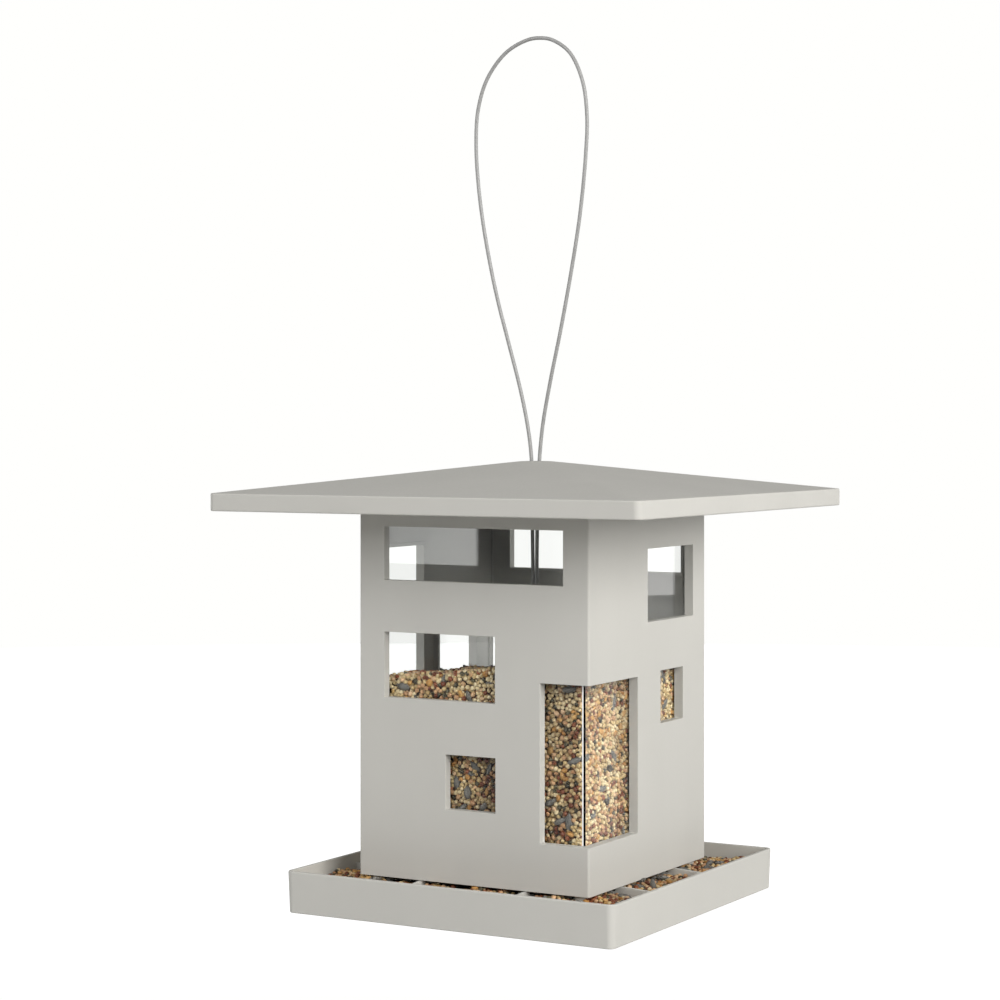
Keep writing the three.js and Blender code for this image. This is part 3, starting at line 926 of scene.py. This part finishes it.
def make_tray():
    half, high = TRAY_HIGH.x / MM, height_of(TRAY_HIGH.z)
    outline = [
        (0.5, 0, 0), (half - TRAY_DRAFT, 0, 0.9), (half, high, 0.8), (half - TRAY_WALL, high, 0.6),
        (half - TRAY_DRAFT - TRAY_WALL, TRAY_FLOOR, 1.5), (0.5, TRAY_FLOOR, 0),
    ]
    profile = [(h * MM, up(z)) for h, z in rounded_profile(outline, closed=False)]

    def plan_radius(h):
        return max(min(h, 0.5 * MM), TRAY_CORNER * MM - (half * MM - h))

    pan = lofted("pan", profile, plan_radius)
    root = TRAY_FLOOR - 1
    boss_top = POCKET_DEPTH + BOSS_WALL
    boss = [
        (0, up(root)), (BOSS_RADIUS * MM, up(root)), (BOSS_RADIUS * MM, up(boss_top - 1)),
        ((BOSS_RADIUS - 1) * MM, up(boss_top)), (0, up(boss_top)),
    ]
    raised = [lathed("boss", boss, sides=64)]
    holes = [
        cylinder("pocket", (0, 0), 64, (BOSS_RADIUS - BOSS_WALL, -1, POCKET_DEPTH)),
        cylinder("leg_hole", (0, 0), 48, (LEG_HOLE, -1, boss_top + 1)),
    ]
    post_top = height_of(HOUSING_LOW.z) - REST_GAP
    for name in SCREWS:
        center = screw_center(name)
        raised.append(cylinder("post", center, 32, (POST_RADIUS, root, post_top)))
        head, shank = (HEAD_HOLE, -1, HEAD_SEAT), (SHANK_HOLE, HEAD_SEAT, post_top + 1)
        holes.append(cylinder("screw_hole", center, 40, head, shank))
    mesh = joined("raised_pan", pan, raised, "UNION")
    mesh = joined("tray_pan", mesh, holes, "DIFFERENCE")
    soften(mesh, 40)
    add_moulding(mesh, "base", [HOUSE], "house_grey", "tray")
    ribs = [rib_mesh(offset, face) for face in range(4) for offset in (-RIB_OFFSET, RIB_OFFSET)]
    mesh = merged("tray_ribs", ribs)
    soften(mesh)
    add_moulding(mesh, "base", [HOUSE], "house_grey")


# ---- Hardware under the tray ---------------------------------------------------

WASHER_CHAMFER = 0.2 * MM
SCREW_SHANK = 1.5 * MM
SCREW_ROOT = 0.74 * SCREW_SHANK
SCREW_HEAD = 2.2 * MM
THREAD_PITCH = 1.1 * MM
# One turn of the thread, as (radius, distance along the shank).
THREAD = [(SCREW_ROOT, 0), (SCREW_ROOT, 0.45 * MM), (SCREW_SHANK, 0.7 * MM), (SCREW_ROOT, 0.95 * MM)]
RECESS_HALF_WIDTH = 0.42 * MM
RECESS_DEPTH = 1.1 * MM
CRIMPS = 2
CRIMP_PINCH = 0.14


def make_washer():
    low, high = WASHER_LOW.z, WASHER_HIGH.z
    chamfer = WASHER_CHAMFER
    hole, radius = LEG_HOLE * MM, WASHER_HIGH.x
    profile = [
        (hole, low + chamfer), (hole + chamfer, low),
        (radius - chamfer, low), (radius, low + chamfer),
        (radius, high - chamfer), (radius - chamfer, high),
        (hole + chamfer, high), (hole, high - chamfer),
    ]
    mesh = lathed("washer_plate", profile, sides=64)
    soften(mesh)
    add_moulding(mesh, "base", [ZINC], "zinc_steel", "anchor_washer")


def make_ferrule():
    """An oval sleeve with the pinches of the crimping tool round it."""
    half_y = FERRULE_HIGH.y
    offset = FERRULE_HIGH.x - half_y
    rings = []
    for t in np.linspace(0, 1, 41):
        pinch = CRIMP_PINCH * max(0.0, math.sin(CRIMPS * 2 * math.pi * t - math.pi / 2)) ** 2
        rounding = max(0.0, abs(2 * t - 1) - 0.9)
        radius = half_y * (1 - pinch - rounding)
        z = FERRULE_LOW.z + t * (FERRULE_HIGH.z - FERRULE_LOW.z)
        ring = []
        for angle in 2 * math.pi * np.arange(40) / 40:
            center = offset if math.cos(angle) >= 0 else -offset
            ring.append((center + radius * math.cos(angle), radius * math.sin(angle), z))
        rings.append(ring)
    mesh = skinned("crimp_sleeve", rings)
    soften(mesh, 40)
    add_piece(mesh, "base", [ALUMINIUM], "crimp_aluminium", "cable_ferrule")


def make_screw(node):
    """A pan-head screw, head down, with a cross recess and a tapping thread."""
    low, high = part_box(node)
    x, y = screw_center(node)
    head = (high.x - low.x) / 2
    head_top = low.z + SCREW_HEAD
    profile = [
        (0, low.z), (head * 0.55, low.z + 0.05 * MM), (head * 0.85, low.z + 0.45 * MM),
        (head, low.z + 1.2 * MM), (head, head_top - 0.1 * MM), (head - 0.1 * MM, head_top),
        (SCREW_SHANK, head_top),
    ]
    z = head_top + 2 * MM
    for _ in range(int((high.z - z - MM) / THREAD_PITCH)):
        profile += [(radius, z + rise) for radius, rise in THREAD]
        z += THREAD_PITCH
    profile += [(SCREW_SHANK * 0.7, z), (0, high.z)]
    arm, width = head * 0.62, RECESS_HALF_WIDTH
    recess = [
        block_mesh("recess", [((x - a, y - b, low.z - MM), (x + a, y + b, low.z + RECESS_DEPTH))])
        for a, b in ((arm, width), (width, arm))
    ]
    blank = lathed("screw_blank", profile, (x, y))
    mesh = joined(node.replace("base_screw", "tray_screw"), blank, recess, "DIFFERENCE")
    soften(mesh, 35)
    add_piece(mesh, "base", [ZINC], "zinc_steel", node)


# ---- Seed --------------------------------------------------------------------

SEED_OVERLAP = 0.78  # grains may lie this much of their reach apart
PLACING_TRIES = 24
PANE_CLEARANCE = 0.15
PANE_LAYERS = (1.8, 0.9)  # how much of the area each layer of grains fills
HEAP_LAYERS = (1.6, 0.9)
TRAY_LAYERS = (1.6, 1.0)
WINDOW_MARGIN = 7.0  # seed reaches this far behind the wall round each window
SEED_CEILING = 157.0  # no seed stands against a pane above this height
SEED_FLOOR = 38.0  # the bed in the hopper starts at this height
HEAP_HEIGHT = 144.0
CHANNEL_HEIGHT = 17.6
CHANNEL_BED_LIMIT = 16.5
CHANNEL_INNER, BED_INNER = 71.5, 61.0
CHANNEL_OUTER = TRAY_HIGH.x / MM - TRAY_WALL - 0.8


def unit_grain(segments, rings, pointed=0.0):
    """The points and faces of a ball of radius 1 with its poles on X; pointed narrows one end."""
    vertices, faces = [(1.0, 0.0, 0.0)], []
    for ring in range(1, rings):
        polar = math.pi * ring / rings
        x = math.cos(polar)
        width = math.sin(polar) * (1 - pointed * max(0.0, x))
        for i in range(segments):
            angle = 2 * math.pi * (i + 0.5 * (ring % 2)) / segments
            vertices.append((x, width * math.cos(angle), width * math.sin(angle)))
    vertices.append((-1.0, 0.0, 0.0))
    starts = [1 + ring * segments for ring in range(rings - 1)]
    for low, high in zip(starts[1:], starts):
        faces += quads_between(low, high, segments)
    for i in range(segments):
        j = (i + 1) % segments
        faces += [(0, 1 + i, 1 + j), (len(vertices) - 1, starts[-1] + j, starts[-1] + i)]
    return np.array(vertices), faces


BALL = unit_grain(8, 5)
SPINDLE = unit_grain(12, 9, pointed=0.35)

# size is (length, width, thickness) in mm, share is of the number of grains, spread is
# of their sizes, and lumps is how uneven each grain is. The order is that of SEED_COATS.
Species = namedtuple("Species", "name size share spread lumps shape")
SPECIES = [
    Species("millet", (2.9, 2.7, 2.4), 0.79, 0.10, 0.0, BALL),
    Species("dari", (3.4, 2.8, 2.4), 0.10, 0.12, 0.02, BALL),
    Species("milo", (3.2, 3.0, 2.6), 0.05, 0.12, 0.0, BALL),
    Species("maize", (4.2, 3.2, 2.3), 0.025, 0.18, 0.16, BALL),
    Species("hemp", (2.9, 2.6, 2.4), 0.027, 0.10, 0.0, BALL),
    Species("sunflower", (9.2, 4.3, 3.0), 0.008, 0.12, 0.03, SPINDLE),
]
MILLET, DARI, MILO, HEMP = 0, 1, 2, 4  # places in SPECIES


def discs_of(species, place, scale, angle):
    """The discs that stand for a grain when grains are kept apart: one, or three along a long one."""
    long, wide, _ = species.size
    if long > 2 * wide:
        steps = np.array([-0.3, 0.0, 0.3]) * long * scale
        along = np.array([math.cos(angle), math.sin(angle)])
        return place + steps[:, None] * along, np.full(3, 0.42 * wide * scale)
    return place[None, :], np.array([(long + wide) / 4 * scale])


def scatter(width, height, layer_share, rng, keep=None):
    """Random places for grains on a flat patch: (u, v, species, scale, angle) rows in mm."""
    shares = np.array([s.share for s in SPECIES])
    mean_area = float(sum(s.share * math.pi * s.size[0] * s.size[1] / 4 for s in SPECIES))
    target = int(layer_share * width * height / mean_area)
    kinds = rng.choice(len(SPECIES), size=target, p=shares / shares.sum())
    centers, radii, rows = np.zeros((3 * target + 3, 2)), np.zeros(3 * target + 3), []
    filled = 0
    for kind in np.sort(kinds)[::-1]:
        species = SPECIES[kind]
        for _ in range(PLACING_TRIES):
            scale = float(np.clip(rng.normal(1, species.spread), 0.75, 1.3))
            place = np.array([rng.uniform(0, width), rng.uniform(0, height)])
            if keep is not None and not keep(*place, species.size[0] * scale / 2):
                continue
            angle = rng.uniform(0, math.pi)
            discs, sizes = discs_of(species, place, scale, angle)
            step_u, step_v = (centers[:filled, axis, None] - discs[None, :, axis] for axis in (0, 1))
            reach = SEED_OVERLAP * (radii[:filled, None] + sizes[None])
            if (step_u * step_u + step_v * step_v < reach * reach).any():
                continue
            centers[filled:filled + len(discs)] = discs
            radii[filled:filled + len(discs)] = sizes
            filled += len(discs)
            rows.append((place[0], place[1], kind, scale, angle))
            break
    return rows


def clump(place):
    """How much of the darker seed lies round a place in metres, from 0 to 1."""
    x, y, z = (value / MM for value in place)
    wave = math.sin(0.11 * x + 0.07 * z + 0.8) * math.sin(0.13 * z - 0.09 * y + 2.2)
    return 0.5 + 0.5 * wave * abs(wave) ** 0.3


def regrouped(grains, rng):
    """Swaps some grains for lighter or darker kinds, so that the kinds lie in clumps."""
    dark = [MILO, HEMP, DARI]
    result = []
    for place, turn, kind, scale in grains:
        share = clump(place)
        if kind == MILLET and rng.uniform() < 0.5 * max(0.0, share - 0.62) / 0.38:
            kind = int(rng.choice(dark))
        elif kind in dark and rng.uniform() < 0.75 * max(0.0, 0.55 - share) / 0.55:
            kind = MILLET
        result.append((place, turn, kind, scale))
    return result


def random_tilt(rng, amount):
    return Euler((rng.normal(0, amount), rng.normal(0, amount), 0)).to_matrix()


def add_seed(name, grains, rng):
    """One piece of many grains. A grain is (place, turn matrix, species, scale), in metres."""
    vertices, faces, tones, spaces, coats = [], [], [], [], []
    total = 0
    for place, turn, kind, scale in grains:
        species = SPECIES[kind]
        unit, loops = species.shape
        shape = unit
        if species.lumps:
            shape = unit * (1 + rng.normal(0, species.lumps, (len(unit), 1)))
        half_size = np.array(species.size) / 2 * scale * MM
        vertices.append((shape * half_size) @ np.array(turn).T + np.array(place))
        faces += [tuple(i + total for i in loop) for loop in loops]
        coats += [kind] * len(loops)
        tones.append(np.full(len(unit), 0.65 * rng.uniform() + 0.35 * (1 - clump(place))))
        spaces.append(unit)
        total += len(unit)
    mesh = mesh_from(name, np.vstack(vertices), faces)
    mesh.polygons.foreach_set("material_index", coats)
    mesh.shade_smooth()
    tone = mesh.attributes.new("tone", "FLOAT", "POINT")
    tone.data.foreach_set("value", np.concatenate(tones).astype(np.float32))
    space = mesh.attributes.new("seed_space", "FLOAT_VECTOR", "POINT")
    space.data.foreach_set("vector", np.vstack(spaces).astype(np.float32).ravel())
    add_piece(mesh, "base", SEED_COATS)


def heap_height(x, y):
    """How high the seed in the hopper stands, in mm above the tray's underside."""
    ripple = 1.1 * math.sin(x * 0.13 + 1.3) * math.cos(y * 0.09) + 0.8 * math.sin(x * 0.27 - y * 0.17)
    return HEAP_HEIGHT + 0.09 * x - 0.05 * (y + 70) + ripple


def rib_distance(x, y):
    """How far a place in the tray's channel is from the nearest rib's middle."""
    along = y if abs(x) > abs(y) else x
    return min(abs(along - RIB_OFFSET), abs(along + RIB_OFFSET))


def channel_height(x, y):
    """How high the seed in the tray stands, in mm above the tray's underside."""
    along = y if abs(x) > abs(y) else x
    wave = 0.9 * math.sin(along * 0.12 + 0.7 * x / 20) + 0.6 * math.sin(along * 0.31 + x * 0.05)
    dip = 2.6 * math.exp(-(rib_distance(x, y) / 7.0) ** 2)
    fall = 0.06 * max(0.0, max(abs(x), abs(y)) - 78)
    return CHANNEL_HEIGHT - fall + wave - dip


def pane_grains(face, from_u, to_u, from_z, to_z, inner, rng):
    """Two layers of grains against the inside of one pane."""
    grains = []
    turn_face = Matrix.Rotation(face * math.pi / 2, 3, "Z")
    lie_back = Matrix.Rotation(math.pi / 2, 3, "X")
    for layer, share in enumerate(PANE_LAYERS):
        for u, v, kind, scale, angle in scatter(to_u - from_u, to_z - from_z, share, rng):
            u, z = from_u + u, from_z + v
            length, _, thickness = (size * scale for size in SPECIES[kind].size)
            depth = thickness / 2 + layer * 1.5 + abs(rng.normal(0, 0.25))
            x, y, _ = turn_face @ Vector((u, depth - inner, 0))
            if z > heap_height(x, y) - 0.6 or abs(u) > inner - length / 2:
                continue
            tilt = random_tilt(rng, 0.28 + 0.4 * layer)
            turn = turn_face @ lie_back @ tilt @ Matrix.Rotation(angle, 3, "Z")
            grains.append(((x * MM, y * MM, up(z)), turn, kind, scale))
    return grains


def surface_grains(half, height_at, keep, layers, rng):
    """Two layers of grains on an uneven level surface."""
    def wanted(u, v, reach):
        return keep(u - half, v - half, reach)

    grains = []
    for layer, share in enumerate(layers):
        for u, v, kind, scale, angle in scatter(2 * half, 2 * half, share, rng, wanted):
            x, y = u - half, v - half
            z = height_at(x, y) - 1.9 * layer + rng.normal(0, 0.35)
            turn = random_tilt(rng, 0.35) @ Matrix.Rotation(angle, 3, "Z")
            grains.append(((x * MM, y * MM, up(z)), turn, kind, scale))
    return grains


def seed_patches(edge):
    """Where panes show seed, as (face, from, to, low, high) in mm."""
    margin = WINDOW_MARGIN
    for face, left, right, sill, head in plain_windows():
        low, high = height_of(sill) - margin, height_of(head) + margin
        if low < SEED_CEILING:
            yield face, left / MM - margin, right / MM + margin, low, min(high, SEED_CEILING)
    (start, _, sill), (_, _, head) = WINDOWS["corner_front"]
    end = WINDOWS["corner_right"][1][1]
    low, high = height_of(sill) - margin, height_of(head) + margin
    yield FACES.index("front"), start / MM - margin, edge, low, high
    yield FACES.index("right"), -edge, end / MM + margin, low, high


def make_hopper_seed(rng):
    inner = HOPPER_HIGH.x / MM - HOPPER_WALL - PANE_CLEARANCE
    by_face = {name: [] for name in FACES}
    for face, from_u, to_u, low, high in seed_patches(inner + PANE_CLEARANCE):
        from_u, to_u = max(from_u, 1.0 - inner), min(to_u, inner - 1.0)
        by_face[FACES[face]] += pane_grains(face, from_u, to_u, low, high, inner, rng)
    for name, grains in by_face.items():
        add_seed(f"seed_pane_{name}", regrouped(grains, rng), rng)

    def keep(x, y, reach):
        return max(abs(x), abs(y)) < inner - reach

    heap = surface_grains(inner, heap_height, keep, HEAP_LAYERS, rng)
    for name, sign in (("front", -1), ("back", 1)):
        half = [grain for grain in heap if grain[0][1] * sign >= 0]
        add_seed(f"seed_heap_{name}", regrouped(half, rng), rng)
    lines = np.linspace(2.6 - inner, inner - 2.6, 46)
    make_bed("seed_bed_hopper", lines, lambda x, y: heap_height(x, y) - 2.2, SEED_FLOOR)


def make_tray_seed(rng):
    """Seed in the eight stretches of the tray's channel, between its ribs."""
    def keep(x, y, reach):
        in_channel = CHANNEL_INNER < max(abs(x), abs(y)) < CHANNEL_OUTER - reach
        return in_channel and rib_distance(x, y) > RIB_HALF_THICKNESS + reach

    by_face = {name: [] for name in FACES}
    for grain in surface_grains(CHANNEL_OUTER, channel_height, keep, TRAY_LAYERS, rng):
        x, y, _ = grain[0]
        across, along = ("right" if x > 0 else "left"), ("front" if y < 0 else "back")
        by_face[along if abs(y) > abs(x) else across].append(grain)
    for name, grains in by_face.items():
        add_seed(f"seed_tray_{name}", grains, rng)
    lines = np.concatenate([
        np.linspace(-CHANNEL_OUTER, -BED_INNER, 14),
        np.linspace(1 - BED_INNER, BED_INNER - 1, 41),
        np.linspace(BED_INNER, CHANNEL_OUTER, 14),
    ])

    def bed_top(x, y):
        return min(channel_height(x, y), CHANNEL_BED_LIMIT) - 2.6

    make_bed("seed_bed_tray", lines, bed_top, TRAY_FLOOR + 0.2, BED_INNER)


def make_bed(name, lines, top_at, floor, hole=0.0):
    """A solid bed under loose seed, so that no light shows through, with a square hole in it."""
    count = len(lines)
    vertices = [(x * MM, y * MM, up(top_at(x, y))) for x in lines for y in lines]
    middles = (lines[:-1] + lines[1:]) / 2
    faces = []
    for i, x in enumerate(middles):
        for j, y in enumerate(middles):
            first = i * count + j
            if max(abs(x), abs(y)) >= hole:
                faces.append((first, first + count, first + count + 1, first + 1))
    mesh = mesh_from(name, vertices, faces)
    with edited(mesh) as work:
        unused = [vertex for vertex in work.verts if not vertex.link_faces]
        bmesh.ops.delete(work, geom=unused, context="VERTS")
        grown = bmesh.ops.extrude_face_region(work, geom=list(work.faces))
        for item in grown["geom"]:
            if isinstance(item, bmesh.types.BMVert):
                item.co.z = up(floor)
        face_outwards(work)
    soften(mesh, 40)
    # The bed's dark colour is painted shade.
    add_piece(mesh, "base", [SEED_BED_PAINTED_SHADE])


# ---- Stage and light ---------------------------------------------------------

FLOOR_BELOW_TRAY = 0.9
FLOOR_RADIUS = 12.0
FLOOR_PLAIN_RADIUS = 1.2
FLOOR_GLOW_RADIUS = 5.4
LIGHT_TARGET = (0, 0, up(130))
BACKDROP = (1, 1, 0.984, 1)
# How brightly the studio lights the object from each height: (sine of the elevation, glow).
WORLD_GLOW = [(-1, 0.08), (-0.15, 0.12), (0.02, 0.30), (0.35, 0.30), (0.7, 0.22), (1, 0.22)]


def make_floor():
    """A plain pale disc that turns into the backdrop's white further out."""
    z = GROUND - FLOOR_BELOW_TRAY
    angles = 2 * math.pi * np.arange(96) / 96
    ring = [(FLOOR_RADIUS * math.cos(angle), FLOOR_RADIUS * math.sin(angle), z) for angle in angles]
    mesh = mesh_from("studio_floor", ring, [tuple(range(len(ring)))])
    floor = bpy.data.objects.new("studio_floor", mesh)
    bpy.context.scene.collection.objects.link(floor)
    shader = Shader("studio_floor")
    distance = shader.add("VectorMath")
    distance.operation = "LENGTH"
    shader.link(shader.place, distance, "Vector")
    radii = {"from_low": FLOOR_PLAIN_RADIUS, "from_high": FLOOR_GLOW_RADIUS}
    reach = shader.spread((distance, "Value"), 0, 1, **radii)
    reach[0].interpolation_type = "SMOOTHSTEP"
    shader.color(shader.ramp(reach, [(0, (0.56, 0.56, 0.555)), (1, (0.9, 0.9, 0.895))]))
    glow = shader.ramp(reach, [(0, (0.05, 0.05, 0.05)), (1, (0.95, 0.95, 0.945))])
    shader.link(glow, shader.bsdf, "Emission Color")
    shader.link(shader.seen_straight(), shader.bsdf, "Emission Strength")
    shader.set(Roughness=0.9, Specular_IOR_Level=0.1)
    mesh.materials.append(shader.material)


def make_world():
    """A white backdrop where it is seen, and a soft glow by height where it lights the object."""
    world = bpy.data.worlds.new("studio")
    bpy.context.scene.world = world
    nodes = Nodes(world)
    seen = nodes.add("Background", Color=BACKDROP)
    felt = nodes.add("Background")
    split = nodes.add("SeparateXYZ")
    nodes.link((nodes.add("TexCoord"), "Generated"), split, "Vector")
    height = nodes.spread((split, "Z"), 0, 1, from_low=-1, from_high=1)
    tint = np.array((1, 0.997, 0.985))
    stops = [((climb + 1) / 2, tuple(glow * tint)) for climb, glow in WORLD_GLOW]
    nodes.link(nodes.ramp(height, stops), felt, "Color")
    mix = nodes.add("MixShader")
    nodes.link(nodes.seen_straight(), mix, "Fac")
    nodes.link((felt, "Background"), mix, 1)
    nodes.link((seen, "Background"), mix, 2)
    nodes.link((mix, "Shader"), nodes.add("OutputWorld"), "Surface")


def add_area(name, place, size, power, color):
    data = bpy.data.lights.new(name, "AREA")
    data.shape = "RECTANGLE"
    data.size, data.size_y = size
    data.energy = power
    data.color = color
    light = bpy.data.objects.new(name, data)
    light.location = place
    light.rotation_euler = (Vector(LIGHT_TARGET) - Vector(place)).to_track_quat("-Z", "Y").to_euler()
    light.visible_camera = False
    bpy.context.scene.collection.objects.link(light)


def make_light():
    make_world()
    add_area("key", (2.5, -1.05, up(1250)), (2.2, 1.8), 82, (1, 0.985, 0.965))
    add_area("side", (2.2, 3.0, up(850)), (2.6, 1.9), 24, (1, 0.99, 0.98))
    add_area("fill", (-0.9, -2.4, up(1400)), (2.4, 1.6), 28, (0.99, 0.99, 1))
    add_area("back", (-3.0, 0.7, up(250)), (1.8, 1.6), 15, (1, 0.995, 0.99))
    bpy.context.scene.view_settings.view_transform = "Standard"


# ---- Making ------------------------------------------------------------------

make_camera()
make_cable()
make_roof()
make_housing()
make_hopper()
make_tray()
make_washer()
make_ferrule()
for screw in SCREWS:
    make_screw(screw)
deflector = frame["nodes"]["seed_deflector"].data
deflector.materials.clear()
deflector.materials.append(DEFLECTOR)
seed_rng = np.random.default_rng(41)
make_hopper_seed(seed_rng)
make_tray_seed(seed_rng)
make_floor()
make_light()
